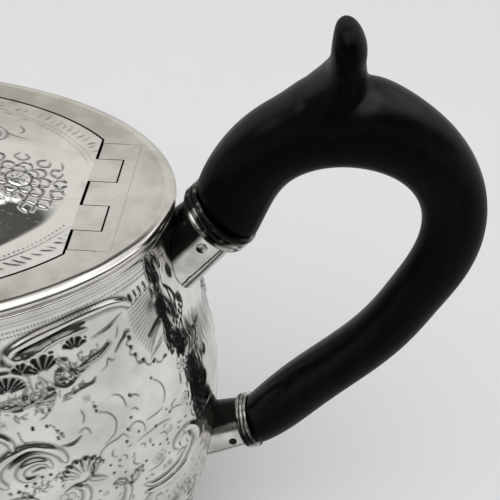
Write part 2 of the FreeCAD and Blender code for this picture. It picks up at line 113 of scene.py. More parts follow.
def wall_offset(z):
    """How far the wall's face stands outside the rim's oval at a height."""
    low = (BELLY - z) / (BELLY - FOOT_TOP)
    high = (z - BELLY) / (WALL_TOP - BELLY)
    upper = SWELL - (SWELL + NECK_IN) * (1.8 * high ** 2 - 0.8 * high ** 3)
    return np.where(z <= BELLY, SWELL - (SWELL + FOOT_IN) * low ** 2, upper)


def on_wall(s, z, inward):
    """Point at a distance s round the belly from the handle, at a height, pressed in from the wall's face."""
    way = (s + 2 * QUARTER) % (4 * QUARTER)
    fold = np.abs(way - 2 * QUARTER)
    near = np.where(fold > QUARTER, 2 * QUARTER - fold, fold)
    angle = np.interp(near, girth, turns)
    angle = np.where(fold > QUARTER, math.pi - angle, angle)
    side = np.where(way >= 2 * QUARTER, -1.0, 1.0)
    grow = wall_offset(z) + inward
    return np.stack([(RIM_X + grow) * np.cos(angle), side * (RIM_Y + grow) * np.sin(angle), z], -1)


def ease(x):
    x = np.clip(x, 0, 1)
    return x * x * (3 - 2 * x)


def smooth_line(points, steps=6):
    """Smooth line through given points. A line of many points is smooth already."""
    p = np.array(points, float)
    if len(p) >= 30:
        return p
    q = np.vstack([2 * p[0] - p[1], p, 2 * p[-1] - p[-2]])
    t = np.linspace(0, 1, steps, endpoint=False)[:, None]
    runs = []
    for a, b, c, d in zip(q[:-3], q[1:-2], q[2:-1], q[3:]):
        runs.append(b + 0.5 * t * (c - a + t * (2 * a - 5 * b + 4 * c - d + t * (3 * (b - c) + d - a))))
    return np.vstack(runs + [p[-1:]])


def c_line(at, size, turn, sweep=250, flip=1):
    """A C-scroll's line: an arc whose ends curl in, with the back of the C at the given point."""
    heading = np.cumsum(1 + 3.0 * np.linspace(-1, 1, 41) ** 6)
    heading = (heading - heading[20]) / (heading[-1] - heading[0]) * math.radians(sweep)
    x = np.cumsum(np.cos(heading))
    y = np.cumsum(np.sin(heading)) * flip
    wide = np.ptp(x)
    x = (x - x[20]) * size / wide
    y = (y - y[20]) * size / wide
    a = math.radians(turn)
    along = x * math.cos(a) - y * math.sin(a)
    across = x * math.sin(a) + y * math.cos(a)
    return np.stack([at[0] + along, at[1] + across], -1)


def away(at, reach, turn):
    return at[0] + reach * math.cos(turn), at[1] + reach * math.sin(turn)


def nearest(line, x, y):
    """Distance to a line, the share of the way along it, and a number whose sign tells its sides apart."""
    gap = np.full(x.shape, 1e6)
    share = np.zeros(x.shape)
    side = np.zeros(x.shape)
    for k, (a, b) in enumerate(zip(line[:-1], line[1:])):
        d = b - a
        t = np.clip(((x - a[0]) * d[0] + (y - a[1]) * d[1]) / max(d @ d, 1e-9), 0, 1)
        r = np.hypot(x - a[0] - t * d[0], y - a[1] - t * d[1])
        closer = r < gap
        gap = np.where(closer, r, gap)
        share = np.where(closer, (k + t) / (len(line) - 1), share)
        side = np.where(closer, (x - a[0]) * d[1] - (y - a[1]) * d[0], side)
    return gap, share, side


class Chasing:
    """Height map of one sheet of silver, worked from the front with punches, with a second map of shade
    painted into its hollows, furrows and traced lines.
    """

    def __init__(self, u, v, level):
        self.u = u
        self.v = v
        self.level = level
        self.height = np.full((len(u), len(v)), level)
        # The dark map is painted shade, laid into the hollows, furrows and traced lines.
        self.dark = np.zeros_like(self.height)

    def patch(self, low, high):
        """Part of the map between two corners, and the places in it."""
        i = np.searchsorted(self.u, (low[0], high[0]))
        j = np.searchsorted(self.v, (low[1], high[1]))
        area = (slice(i[0], i[1]), slice(j[0], j[1]))
        return area, np.meshgrid(self.u[area[0]], self.v[area[1]], indexing="ij")

    def round_about(self, at, reach):
        """Square part of the map round a point, and its places measured from there."""
        area, (x, y) = self.patch((at[0] - reach, at[1] - reach), (at[0] + reach, at[1] + reach))
        return area, x - at[0], y - at[1]

    def near(self, line, reach):
        """Part of the map within reach of a line, the distance from it and the share of the way along it."""
        area, (x, y) = self.patch(line.min(0) - reach, line.max(0) + reach)
        gap, share, _ = nearest(line, x, y)
        return area, gap, share

    def press_in(self, area, press, depth, dark):
        self.height[area] -= depth * press
        self.dark[area] = np.maximum(self.dark[area], dark * press)

    def cut(self, points, width, depth, taper=0.5, dark=0.8):
        """Line pressed in with a tracing punch, thinning to its ends."""
        line = smooth_line(points)
        width = width * 0.72
        area, gap, share = self.near(line, width)
        press = np.clip(1 - (gap / width) ** 2, 0, 1) ** 1.5
        press = press * np.clip(np.sin(math.pi * share), 0, 1) ** taper if taper else press
        self.press_in(area, press, depth, dark)

    def band(self, points, width, height, taper=0.5, edge=0.16):
        """Rounded scroll raised from the ground, with a furrow along both edges."""
        line = smooth_line(points)
        area, gap, share = self.near(line, width * 1.6)
        half = width * (0.3 + 0.7 * np.clip(np.sin(math.pi * share), 0, 1) ** taper)
        crown = np.clip(1 - (gap / half) ** 2, 0, 1) ** 0.7
        furrow = np.exp(-((gap - 1.12 * half) / (0.28 * half + 0.12)) ** 2)
        raised = np.maximum(self.height[area], self.level + height * crown)
        self.height[area] = np.where(crown > 0, raised, self.height[area]) - edge * furrow
        self.dark[area] = np.maximum(self.dark[area] * (1 - crown), 0.55 * furrow)

    def dot(self, at, radius, depth, dark=0.9):
        area, x, y = self.round_about(at, radius)
        press = np.clip(1 - (x ** 2 + y ** 2) / radius ** 2, 0, 1)
        self.press_in(area, press, depth, dark)

    def dots(self, points, pitch, radius, depth=0.2, dark=0.9):
        """Row of punched dots along a line."""
        line = smooth_line(points)
        run = np.concatenate([[0], np.cumsum(np.hypot(*np.diff(line, axis=0).T))])
        for s in np.arange(0, run[-1] + pitch / 2, pitch):
            self.dot((np.interp(s, run, line[:, 0]), np.interp(s, run, line[:, 1])), radius, depth, dark)

    def flower(self, at, radius, petals, height, turn=0.0):
        """Open flower: flat veined petals with a traced outline, and a dotted middle."""
        area, x, y = self.round_about(at, radius)
        r = np.hypot(x, y) / radius
        lean = petals * (np.arctan2(y, x) - math.radians(turn)) / 2
        lobe = np.abs(np.cos(lean))
        rim = 0.64 + 0.36 * lobe ** 0.6
        cupped = 0.7 + 0.3 * np.clip(r / rim, 0, 1)
        dish = np.clip(1 - (r / rim) ** 6, 0, 1) * (0.3 + 0.7 * lobe ** 0.4) * cupped
        middle = np.clip(1 - (r / 0.3) ** 2, 0, 1) ** 0.5
        inside = r < rim
        ring = np.exp(-((r - 0.33) / 0.05) ** 2) + np.exp(-((r - rim) / 0.05) ** 2)
        vein = np.exp(-(np.sin(lean) * r * radius / 0.22) ** 2)
        vein = vein * ease((r - 0.4) / 0.1) * ease((0.84 - r) / 0.1)
        top = self.level - 0.06 + 0.6 * (height + 0.06) * np.maximum(dish, middle) - 0.06 * vein
        self.height[area] = np.where(inside, top, self.height[area]) - 0.12 * ring * (r < 1.1)
        crease = np.clip(ring + 0.6 * vein + (1 - lobe) ** 4 * (r > 0.35), 0, 1) * (r < rim + 0.06)
        self.dark[area] = np.where(inside, 0.85 * crease, np.maximum(self.dark[area], 0.6 * crease))
        for k in range(7):
            a = k * math.pi / 3
            reach = 0.16 * radius if k else 0
            self.dot(away(at, reach, a), 0.075 * radius, 0.1)

    def boss(self, at, radius, height, dots=0):
        """Smooth dome with a ring round it, and rows of punched dots on a large one."""
        area, x, y = self.round_about(at, radius * 1.2)
        r = np.hypot(x, y) / radius
        ring = np.exp(-((r - 1.0) / 0.09) ** 2)
        top = self.level + height * np.clip(1 - r ** 2, 0, 1) ** 0.6
        domed = np.maximum(top, self.height[area])
        self.height[area] = np.where(r < 1, domed, self.height[area]) - 0.2 * ring
        self.dark[area] = np.where(r < 0.9, 0, np.maximum(self.dark[area], 0.9 * ring))
        for k in range(dots):
            a = 2.4 * k
            reach = 0.82 * radius * math.sqrt((k + 0.3) / dots)
            self.dot(away(at, reach, a), 0.36, 0.12, 0.6)

    def shell(self, at, radius, first, last, ribs, depth=0.34, hollow=0.25, raised=False):
        """Fan of hollow flutes with thin ribs between them, or of raised ribs, with a scalloped lip."""
        area, x, y = self.round_about(at, radius + 1)
        turn = (np.degrees(np.arctan2(y, x)) - first) % 360 / (last - first)
        turn = turn + 0.035 * np.sin(9 * turn + radius) * (turn < 1)
        scallop = np.abs(np.sin(turn * ribs * math.pi))
        r = np.hypot(x, y) / (radius * (0.87 + 0.13 * scallop))
        inside = (turn < 1) & (r < 1) & (r > hollow)
        flute = scallop ** 0.4 * ease((r - hollow) / 0.16) * ease((1 - r) / 0.1)
        lip = np.exp(-((r - 1.0) / 0.07) ** 2) * (turn < 1)
        if raised:
            dark = 0.95 * (1 - scallop) ** 1.5 * ease((r - hollow) / 0.16)
            rise = 0.28 * scallop ** 0.6 * ease((1.02 - r) / 0.14) - 0.16 * dark
            self.height[area] = np.where(inside, self.level + rise, self.height[area]) - 0.2 * lip
            self.dark[area] = np.maximum(np.where(inside, dark, self.dark[area]), 0.9 * lip)
        else:
            top = np.where(inside, self.level + 0.24 - depth * 1.5 * flute, self.height[area])
            lifted = np.where(turn < 1, self.level + 0.28 * lip, -9)
            self.height[area] = np.maximum(top, lifted)
            self.dark[area] = np.where(inside, flute, self.dark[area] * (1 - lip))

    def leaf(self, points, width, height=0.25, veins=4):
        """Pointed leaf along a line, with a midrib and side veins."""
        line = smooth_line(points)
        area, gap, share = self.near(line, width * 1.3)
        wavy = 1 + 0.14 * np.sin(share * veins * 2 * math.pi)
        half = width * np.clip(np.sin(math.pi * share ** 0.8), 0.02, 1) * wavy
        blade = np.clip(1 - (gap / half) ** 2, 0, 1) ** 0.6
        ends = (share > 0.005) & (share < 0.995)
        edge = np.exp(-((gap - half) / 0.22) ** 2) * ends
        rib = np.exp(-(gap / 0.2) ** 2) * ends
        vein = np.cos((share * veins * 2 - gap / half * 0.8) * 2 * math.pi)
        vein = np.clip(vein, 0, 1) ** 6 * (blade > 0.1)
        raised = np.maximum(self.height[area], self.level + height * blade)
        traced = np.clip(0.7 * edge + 0.6 * rib + 0.5 * vein, 0, 0.9)
        furrows = 0.16 * edge + 0.14 * rib + 0.1 * vein
        self.height[area] = np.where(blade > 0, raised, self.height[area]) - furrows
        self.dark[area] = np.maximum(self.dark[area] * (1 - blade), traced)

    def hatch(self, points, width, count, seed, long, spread, depth, wide=(0.35, 0.8), dark=1.0):
        """Close dark punch strokes scattered along a line, thinning out to its edges."""
        rng = np.random.default_rng(seed)
        line = smooth_line(points)
        for _ in range(count):
            x, y = line[int(rng.integers(len(line)))] + rng.normal(0, 0.5, 2) * (width, 1.2)
            lean = rng.normal(-0.12, spread)
            half = rng.uniform(*long)
            a = half * math.sin(lean)
            b = half * math.cos(lean)
            bend = rng.normal(0, 0.2) * half
            stroke = [(x - a, y + b), away((x, y), bend, lean), (x + a, y - b)]
            self.cut(stroke, rng.uniform(*wide), depth, 0.5, dark)

    def fill(self, low, high, count, seed):
        """Small curls, dots and florets scattered on whatever ground is still plain."""
        rng = np.random.default_rng(seed)
        for k in range(count):
            at = rng.uniform(low, high)
            size = rng.uniform(1.0, 2.6)
            area, _ = self.patch(at - 0.6 * size, at + 0.6 * size)
            turn = rng.uniform(0, 360)
            if self.dark[area].size == 0 or self.dark[area].max() > 0.25:
                continue
            if k % 9 == 0:
                self.flower(at, 0.75 * size, 5, 0.24, turn)
            elif k % 3 == 0:
                self.dot(at, 0.42, 0.22, 1)
            else:
                self.cut(c_line(at, size, turn, rng.uniform(120, 280), (-1) ** k), 0.42, 0.2, 0.4, 0.7)

    def sample(self, grid, x, y):
        fx = np.clip((x - self.u[0]) / (self.u[1] - self.u[0]), 0, len(self.u) - 1.001)
        fy = np.clip((y - self.v[0]) / (self.v[1] - self.v[0]), 0, len(self.v) - 1.001)
        i = fx.astype(int)
        j = fy.astype(int)
        a = fx - i
        b = fy - j
        low = grid[i, j] * (1 - b) + grid[i, j + 1] * b
        high = grid[i + 1, j] * (1 - b) + grid[i + 1, j + 1] * b
        return low * (1 - a) + high * a


def chase_wall():
    """One quarter of the wall, from the handle to the middle of the side. The other quarters mirror it."""
    around = np.arange(0, QUARTER + 0.5, MAP_PITCH)
    c = Chasing(around, np.arange(FOOT_TOP, WALL_TOP + 0.5, MAP_PITCH), GROUND)
    # Dark strokes on the ground beside the handle, long and feathered at the top: cut in, and their darkness
    # a painted reflection of the handle
    for strokes in (
        ([(15.2, 99), (15.6, 95), (15.4, 91), (15.6, 87.4)], 1.5, 50, 11, (1.6, 3.4), 0.12, 0.12),
        ([(14.6, 88), (15.6, 84), (16.6, 79)], 1.9, 70, 12, (1.4, 3.2), 0.14, 0.12),
        ([(14.6, 80), (13.4, 75), (12.6, 69), (12.3, 62), (12.4, 55), (12.8, 48)],
         2.3, 460, 13, (0.9, 2.2), 0.14, 0.02),
    ):
        c.hatch(*strokes)
    rng = np.random.default_rng(14)
    for k in range(30):
        s = 0.3 + 0.42 * k
        top = 82.0 - rng.uniform(0, 3)
        line = [(s, top), (s - 0.1, top - 5), (s - 0.3, top - rng.uniform(8, 15))]
        c.cut(line, 0.4, 0.12, 0.4, rng.uniform(0.4, 0.9))
    # Fan shell under the rim beside the handle
    for k in range(14):
        short = 0.32 * max(0, k - 6)
        rib = [(16.9, 94.0 - 0.62 * k), (20.8, 93.6 - 0.78 * k), (25.4 - short, 92.8 - 0.92 * k)]
        c.cut(rib, 0.46, 0.24, 0.2, 0.6)
    for s, size in ((17, 0.5), (18.6, 0.55), (20.3, 0.6), (21.9, 0.65), (23.5, 0.75)):
        c.cut([(s - 0.1, 94), (s, 95), (s + 0.15, 95.9)], size, 0.34, 0.2, 1)
    c.cut([(15.4, 87), (18.5, 85.8), (21.8, 84.2)], 0.85, 0.42, 0.15, 1)
    edge = [(26.5, 89.2), (26.6, 87.1), (26.9, 84.9), (26.5, 82.8), (25.1, 80.7), (22.4, 78.8), (19.2, 77.6)]
    for a, b in zip(np.array(edge[:-1]), np.array(edge[1:])):
        between = (a + b) / 2
        c.cut([a, between + 0.14 * (between - (20, 86)), b], 0.44, 0.24, 0.2, 0.7)
        c.dot(b, 0.62, 0.3, 1)
    for k in range(5):
        c.cut([(18 + k, 82.6 - 0.5 * k), (21.5 + 0.6 * k, 81.1 - 0.35 * k)], 0.4, 0.14, 0.5, 0.5)
    c.dots([(10.2, 84.4), (13, 81.6), (15.2, 78.7), (16.8, 76.9)], 1.25, 0.62, 0.32, 1)
    c.dots([(4.2, 75), (5.6, 72.8), (7.2, 70.4)], 0.9, 0.36, 0.2)
    c.cut([(9.4, 77.6), (10.8, 75.2), (12, 73)], 0.7, 0.3, 0.2, 1)
    for k in range(4):
        c.leaf([(5 + 1.6 * k, 77.6 - 0.3 * k), (7.6 + 1.6 * k, 74.6), (9.4 + 1.6 * k, 71.2)], 0.9, 0.26, 0)
    c.flower((15.2, 72.8), 2.1, 7, 0.24)
    # Long C-scroll below the rim, its hollow and the ruffled shells under it
    c.cut([(35, 95.5), (40, 95.1), (45, 94.7), (49, 93.8), (51.2, 93)], 1.15, 0.5, 0.2, 1)
    c.band([(23.9, 93.4), (26, 95.2), (30, 96.3), (36, 96.7), (43, 96.2), (49, 95.2), (52.2, 93.8),
            (51.4, 92.4), (49.6, 92.3)], 1.05, 0.34, 0.25, 0.2)
    c.band([(35.2, 93.6), (40, 93.9), (45, 93.2), (49.4, 92)], 0.5, 0.26, 0.3)
    c.cut([(26, 93.2), (30, 92.1), (35.4, 91.2)], 0.45, 0.2)
    c.shell((38.9, 90.3), 3.2, 20, 165, 5, 0.4, 0.08)
    c.shell((46.6, 87.8), 4.7, 12, 165, 6, 0.44, 0.12)
    c.shell((50.6, 89.4), 2.6, 20, 170, 4, 0.34, 0.08)
    c.shell((54.4, 85.6), 4.4, 20, 178, 9, 0.42, 0.08)
    c.band([(50.6, 85.4), (50, 87), (50.6, 88.7), (52.4, 89.9), (55.4, 90.3), (59, 89.4)], 0.6, 0.3)
    # Thin scrolls and scalloped edge
    c.cut([(25.8, 88.8), (28, 87.8), (31, 85.7)], 0.6, 0.32, 0.3, 1)
    c.cut([(28.3, 91), (29, 89.8), (29.8, 88.7)], 0.4, 0.2)
    c.cut([(31, 89.2), (35, 87.6), (40.4, 86.3)], 0.45, 0.24)
    c.cut([(34.3, 87), (37, 86.1), (40.6, 85.4)], 0.45, 0.24)
    c.band([(31, 88.4), (35, 86.9), (40.5, 85.9)], 0.4, 0.2)
    c.cut([(31, 84.6), (32, 84.5), (32.8, 85.4), (33.5, 84), (35.3, 83.3)], 0.4, 0.22)
    c.cut([(36.3, 83), (37.2, 82.2), (38.6, 82.1), (40.5, 82.7)], 0.5, 0.3, 0.3, 1)
    c.cut([(40.6, 84.6), (42, 84), (43.3, 83.9)], 0.5, 0.28, 0.3, 1)
    c.cut([(41, 83), (42, 82), (43.5, 81.6), (44.4, 81)], 0.45, 0.26)
    c.cut([(46, 81.8), (47.2, 82), (48.4, 81.5)], 0.5, 0.26)
    c.leaf([(43.4, 90), (41.7, 88.2), (41.2, 85.8)], 1, 0.3, 3)
    c.leaf([(42.6, 87.6), (43.7, 85.8), (42.9, 84)], 1, 0.3, 2)
    c.leaf([(41.4, 86.6), (40.2, 85.4), (40.8, 84.2)], 0.7, 0.28, 2)
    c.flower((47.2, 84.4), 2.1, 5, 0.26)
    c.cut([(38.4, 82), (40, 81.8), (42.8, 81.5)], 0.4, 0.2, 0.3)
    c.leaf([(45.2, 83.2), (47.2, 81.8), (49.6, 82)], 0.9)
    c.band([(47.6, 87.5), (46.8, 85.6), (47.4, 83.4), (49.4, 82.3), (52.5, 82)], 0.4, 0.2)
    c.band([(50.2, 87.4), (49.9, 85.4), (51, 83.6), (53.5, 82.6), (57, 82.9)], 0.5, 0.24)
    for k in range(3):
        c.cut([(53 + k, 84.6 - 0.6 * k), (57, 84.2 - 0.7 * k), (60, 84.8 - 0.7 * k)], 0.4, 0.2)
    # Engraved curls on the plain ground
    for line in (
        [(24.6, 75.4), (22.8, 73), (22.3, 71), (22.6, 69.3), (23.5, 67.7)],
        [(30.7, 75.1), (29.5, 74.5), (28.5, 73.4)],
        [(31.2, 71.6), (30.1, 71.2), (29.5, 70)],
        [(34.7, 77.6), (33, 76.5), (32.2, 74.9), (32.1, 72.8)],
        [(38.3, 75), (36.4, 73.8), (35.2, 72), (35, 70.1), (36, 68), (38.8, 66.5)],
        [(40.8, 70.7), (41, 72), (41.9, 72.8), (43.2, 72.1)],
        [(41.5, 77.2), (41.2, 75.4), (41.9, 74)],
        [(53.9, 81.2), (54.4, 80), (53.6, 78.7)],
        [(47.4, 79.6), (48.5, 78.5), (49.8, 78.2)],
        [(29.3, 63.8), (29.2, 66), (30.3, 67.6), (31.8, 67.7), (32.7, 66.7)],
        [(23.6, 66.8), (25.6, 66.3), (28.6, 66.5)],
        [(33.3, 65.3), (34.3, 66.8), (35.5, 66.4), (37.8, 66.1), (39.6, 65), (40.3, 63.2)],
        [(18, 62.8), (20.2, 64), (22.4, 64.4)],
        [(22, 61.9), (25, 63.2), (28, 63.1), (31.9, 62.9)],
        [(24, 58.2), (24.4, 59.9), (26.2, 60.7)],
    ):
        c.cut(line, 0.42, 0.2, 0.3, 0.75)
    c.cut([(42.6, 71.3), (43.8, 70.6), (45.2, 70.3), (47.4, 70.7)], 0.55, 0.34, 0.3, 1)
    for at in (
        (24.6, 75.5), (30.7, 75.1), (31.6, 69.5), (38.4, 76.4), (38.4, 75.3), (47.4, 79.6), (51.6, 77.1),
        (26.5, 63.4), (33, 67.2), (34, 64.6), (36.2, 60.2), (40.2, 63.4), (40, 62.4), (22, 63.9),
        (46.4, 73.4), (47, 74.3), (47.3, 72.9), (48.8, 76.3), (24.2, 57.3), (30.2, 55.4), (37.9, 57.4),
    ):
        c.dot(at, 0.5, 0.26, 1)
    c.dots([(46.2, 72.7), (47.2, 74.4), (47.7, 75.9), (48.8, 76.4)], 0.8, 0.34)
    c.dots([(54.5, 76.8), (54.3, 75.2), (53.4, 73.4)], 0.7, 0.34)
    c.dots([(38.5, 77.6), (38.7, 76.4), (38.3, 75.2)], 0.7, 0.3)
    # Big volute
    c.cut([(50.6, 70.6), (53, 71.3), (56, 70.6), (58.4, 68.8)], 1.1, 0.48, 0.3, 1)
    c.band([(47, 66.4), (47.9, 69), (50, 71.2), (53.5, 72.6), (57, 72), (60, 69.9), (61, 66.8),
            (59.4, 64.2)], 1.05, 0.34, 0.3, 0.16)
    c.band([(50, 66.2), (50.9, 68.2), (53.2, 69.2), (55.6, 68.4), (56.4, 66.4), (55.2, 65), (53.2, 65.2)],
           0.75, 0.3, 0.4)
    c.cut([(51, 66.3), (52.4, 67), (54.2, 66.6)], 0.55, 0.4, 0.3, 1)
    for k in range(6):
        c.dot((50.6 + 1.7 * k, 64.3 - 0.5 * k + 0.6 * (k % 2)), 0.55, 0.26, 1)
    # Fan flower and the leaf below it
    c.shell((44.2, 61), 4.8, 4, 176, 8, 0.34, 0.2, True)
    c.leaf([(41.7, 63.4), (41.9, 61.8), (42.6, 60)], 0.8, 0.1, 0)
    c.cut([(41.8, 63.2), (41.9, 61.8), (42.4, 60.4)], 0.6, 0.34, 0.4, 1)
    c.band([(39.8, 57.4), (42.2, 59), (43.4, 60.2)], 0.6, 0.26)
    c.cut([(43.1, 60), (44.5, 59.3), (46.5, 59.1), (48.9, 57.9)], 0.5, 0.34, 0.3, 1)
    c.cut([(43.6, 57.8), (45, 58.4), (47, 58.2)], 0.4, 0.22)
    c.band(c_line((45, 53.4), 7.5, 300), 0.9, 0.3)
    c.flower((48.6, 55.4), 2.4, 6, 0.28, 10)
    # Oval C-scroll low beside the handle
    c.band([(30.8, 45.2), (26.6, 43.6), (21.4, 43.3), (17.2, 44.6), (15, 47.4), (14.8, 51), (16.4, 54.2),
            (19.4, 55.2), (21.6, 53.6), (20.8, 51.4)], 1.25, 0.34, 0.4, 0.14)
    c.cut([(16.6, 53.4), (16.8, 52.4), (16.5, 51.2)], 0.6, 0.34, 0.3, 1)
    c.band([(18.4, 49.4), (20.4, 47.2), (25, 46.2), (29, 46.7), (31.2, 48.2)], 0.7, 0.26)
    c.cut([(18.4, 49.1), (20, 50), (22.2, 49.6)], 0.5, 0.26)
    c.flower((26.8, 53.9), 1.9, 6, 0.24)
    c.cut([(25, 52.3), (27, 51.2), (30.2, 51.6)], 0.42, 0.2)
    c.leaf([(31, 55), (33.2, 53.4), (34.6, 50.9)], 1.1, 0.25)
    c.leaf([(38.6, 54.4), (36.6, 53.8), (34.8, 51)], 0.9, 0.22)
    c.dot((34.2, 51.5), 0.8, 0.36, 1)
    for at in ((31.3, 53), (32.7, 54.6), (34.3, 53.8), (35.7, 53.5), (38, 52.6)):
        c.dot(at, 0.45, 0.22)
    # Side of the belly: plain cartouche in a scrolled frame
    for at, size, turn, width in (
        ((82.2, 58), 26, 270, 1.15), ((95.5, 81), 15, 185, 0.95), ((94.5, 36), 16, 352, 0.95),
        ((66, 77), 15, 150, 0.95), ((69.5, 48), 17, 220, 1.05), ((60, 54.6), 9, 60, 0.8),
        ((77, 91), 17, 190, 0.95), ((70.5, 64.2), 8, 100, 0.7),
    ):
        c.band(c_line(at, size, turn), width, 0.32, 0.35)
    c.dots([(QUARTER, 72.6), (95.4, 71.2), (88.6, 65.6), (86.4, 58), (88.6, 50.4), (95.4, 44.8),
            (QUARTER, 43.4)], 1.1, 0.42)
    c.shell((QUARTER, 84.2), 7.6, 5, 175, 11, 0.4)
    c.shell((QUARTER, 30), 6.6, 185, 355, 9, 0.38)
    c.shell((69, 86.6), 5.2, 20, 165, 8, 0.4)
    c.shell((61.4, 79.2), 3.6, 30, 180, 6, 0.36)
    c.flower((75.4, 71.4), 4.3, 7, 0.32, 12)
    c.flower((69.6, 56.8), 3, 6, 0.3)
    c.flower((78.6, 40.4), 3.8, 6, 0.32, 30)
    c.flower((64.6, 68.8), 2.6, 6, 0.28)
    c.flower((88.6, 88), 3, 6, 0.3)
    c.flower((93.4, 90.6), 2.2, 5, 0.26)
    for line, width in (
        ([(80, 76), (83.4, 79.6), (84.6, 84)], 1.6), ([(71, 74.8), (67, 74.6), (63.4, 76.6)], 1.3),
        ([(74, 67), (72.6, 62.6), (73.4, 59)], 1.4), ([(82.6, 42.6), (87, 42), (90.2, 39.2)], 1.5),
        ([(75, 41.6), (71, 42.6), (67.6, 40.6)], 1.5), ([(79, 36.4), (80.6, 32), (84.6, 29.4)], 1.6),
        ([(62.4, 60.6), (65.6, 60), (68, 62.2)], 1.1), ([(81.4, 90.2), (84.8, 91.6), (88, 93.2)], 1.2),
        ([(60.4, 92.6), (64.4, 94.6), (68.6, 94.2)], 1.1), ([(76.6, 83.2), (79.8, 82.6), (82.2, 80.4)], 1),
        ([(54, 58.4), (57, 59.8), (60.2, 59)], 1),
    ):
        c.leaf(line, width, 0.28)
    # Lower wall: scrolls, leaves and husks down to the foot
    for at, size, turn, width in (
        ((40, 44), 13, 340, 0.95), ((54, 44), 12, 205, 0.95), ((27, 33), 15, 30, 1),
        ((46, 30), 15, 165, 1), ((63, 30.6), 14, 350, 0.95), ((92.6, 21), 14, 185, 0.95),
        ((75.6, 21.6), 12, 170, 0.85), ((13, 24.6), 11, 300, 0.85),
    ):
        c.band(c_line(at, size, turn), width, 0.3, 0.35)
    for s, z, size in ((47, 39, 3), (35.6, 27.4, 3), (55.4, 25.4, 2.8), (84.4, 23.8, 2.8), (20.4, 36.4, 2.3)):
        c.flower((s, z), size, 6, 0.3, 15)
    for line in (
        [(33, 39), (36, 36), (40, 35)], [(52, 36.6), (55.6, 34), (58.8, 36.6)],
        [(38.6, 29), (42, 25.4), (40.4, 21.6)], [(58.4, 26), (62.4, 23), (66.6, 23.6)],
        [(31.8, 25.6), (28.6, 22), (23.6, 22.4)], [(68, 35.4), (71.4, 32.2), (75.4, 31.6)],
        [(50.6, 24.4), (48, 20.6), (44.6, 19.8)], [(88, 27), (91, 29.4), (95.4, 28.2)],
        [(16.4, 33), (14.4, 30), (16, 27)],
    ):
        c.leaf(line, 1.4, 0.26)
    for k in range(18):
        s = 3.0 + 5.8 * k
        c.leaf([(s, 6.2), (s + 0.2, 9.6), (s, 13.6)], 1.5, 0.26, 2)
        c.dot((s + 2.9, 12.6), 0.5, 0.22)
        c.cut([(s + 2.9, 6.4), (s + 2.9, 9), (s + 2.9, 11.6)], 0.45, 0.2)
    for z in (4.6, 15.4):
        c.dots([(0.4, z), (50, z), (QUARTER, z)], 0.95, 0.36, 0.18)
    # Crumpled work between the shells, and small work between the larger motifs
    for line, width, count in (
        ([(36, 88.6), (41, 86.6), (47, 84.2), (53, 82.6)], 3.6, 90),
        ([(40, 82.4), (46, 81.2), (52, 80.4)], 1.6, 30),
        ([(52, 85), (56, 83), (60, 82)], 3, 50),
        ([(50, 63.2), (54, 61.4), (58, 60.6)], 2.4, 36),
    ):
        c.hatch(line, width, count, 15, (0.4, 1.2), 1.1, 0.26, (0.28, 0.46), 0.7)
    c.fill((38, 79), (66, 93), 260, 5)
    c.fill((15, 40), (50, 66), 420, 6)
    c.fill((52, 17), (QUARTER - 14, 78), 420, 7)
    c.fill((2, 17), (52, 42), 300, 8)
    # Punched rows below the rim, and three fine grooves under it whose darkness paints the reflection of the
    # rim's reeding
    for z in (98.4, 97.5):
        c.dots([(9, z), (50, z - 0.2), (QUARTER, z - 0.2)], 0.74, 0.3, 0.22, 0.9)
    for z in (99.2, 99.9, 100.6):
        c.cut([(0, z), (50, z), (QUARTER + 0.5, z)], 0.3, 0.13, 0, 0.5)
    u, v = np.meshgrid(c.u, c.v, indexing="ij")
    # Soft bulges left by the hammer
    rng = np.random.default_rng(21)
    for _ in range(30):
        sideways = math.pi * int(rng.integers(4, 26)) / QUARTER
        upward = rng.uniform(-0.9, 0.9)
        wave = np.cos(sideways * u) * np.cos(upward * v + rng.uniform(0, 2 * math.pi))
        c.height += 0.028 * wave * ease((97.5 - v) / 3)
    c.height = np.clip(c.height, DEEPEST, 0)
    # Fuller relief towards the handle, where the wall stands well inside the pot's widest line
    c.height += (0.9 - 0.9 * ease((u - 52) / 16)) * np.clip(c.height - GROUND, 0, 1)
    c.height = rubbed(rubbed(c.height))
    c.height *= 1 - ease((v - 100.2) / 0.8) * 0.9
    c.height *= ease((v - 3.2) / 1)
    return c


def rubbed(height):
    """Height map with its sharpest edges worn soft."""
    padded = np.pad(height, 1, mode="edge")
    across = (padded[:-2] + 2 * padded[1:-1] + padded[2:]) / 4
    return (across[:, :-2] + 2 * across[:, 1:-1] + across[:, 2:]) / 4


def keep_clear(s, z, half_s, half_z, middle):
    """1 where a fitting is soldered on, 0 away from it."""
    return 1 - ease((np.hypot(s / half_s, (z - middle) / half_z) - 1.02) / 0.4)


def steps(*stops):
    """Rising places: (start, step), ..., end."""
    runs = []
    for (start, step), stop in zip(stops[:-1], list(stops[1:-1]) + [(stops[-1], 0)]):
        runs.append(np.linspace(start, stop[0], max(2, round((stop[0] - start) / step) + 1))[:-1])
    return np.concatenate(runs + [[stops[-1]]])


def grid_mesh(columns, rows, place, attributes):
    """Grid whose vertices are put in place by column and row number."""
    bm = bmesh.new()
    bmesh.ops.create_grid(bm, x_segments=columns - 1, y_segments=rows - 1, size=1)
    i = np.array([round((vert.co.x + 1) / 2 * (columns - 1)) for vert in bm.verts])
    j = np.array([round((vert.co.y + 1) / 2 * (rows - 1)) for vert in bm.verts])
    for vert, co in zip(bm.verts, place(i, j) * MM):
        vert.co = co
    for name, values in attributes.items():
        layer = bm.verts.layers.float.new(name)
        for vert, value in zip(bm.verts, values(i, j)):
            vert[layer] = value
    for face in bm.faces:
        face.smooth = True
    return bm


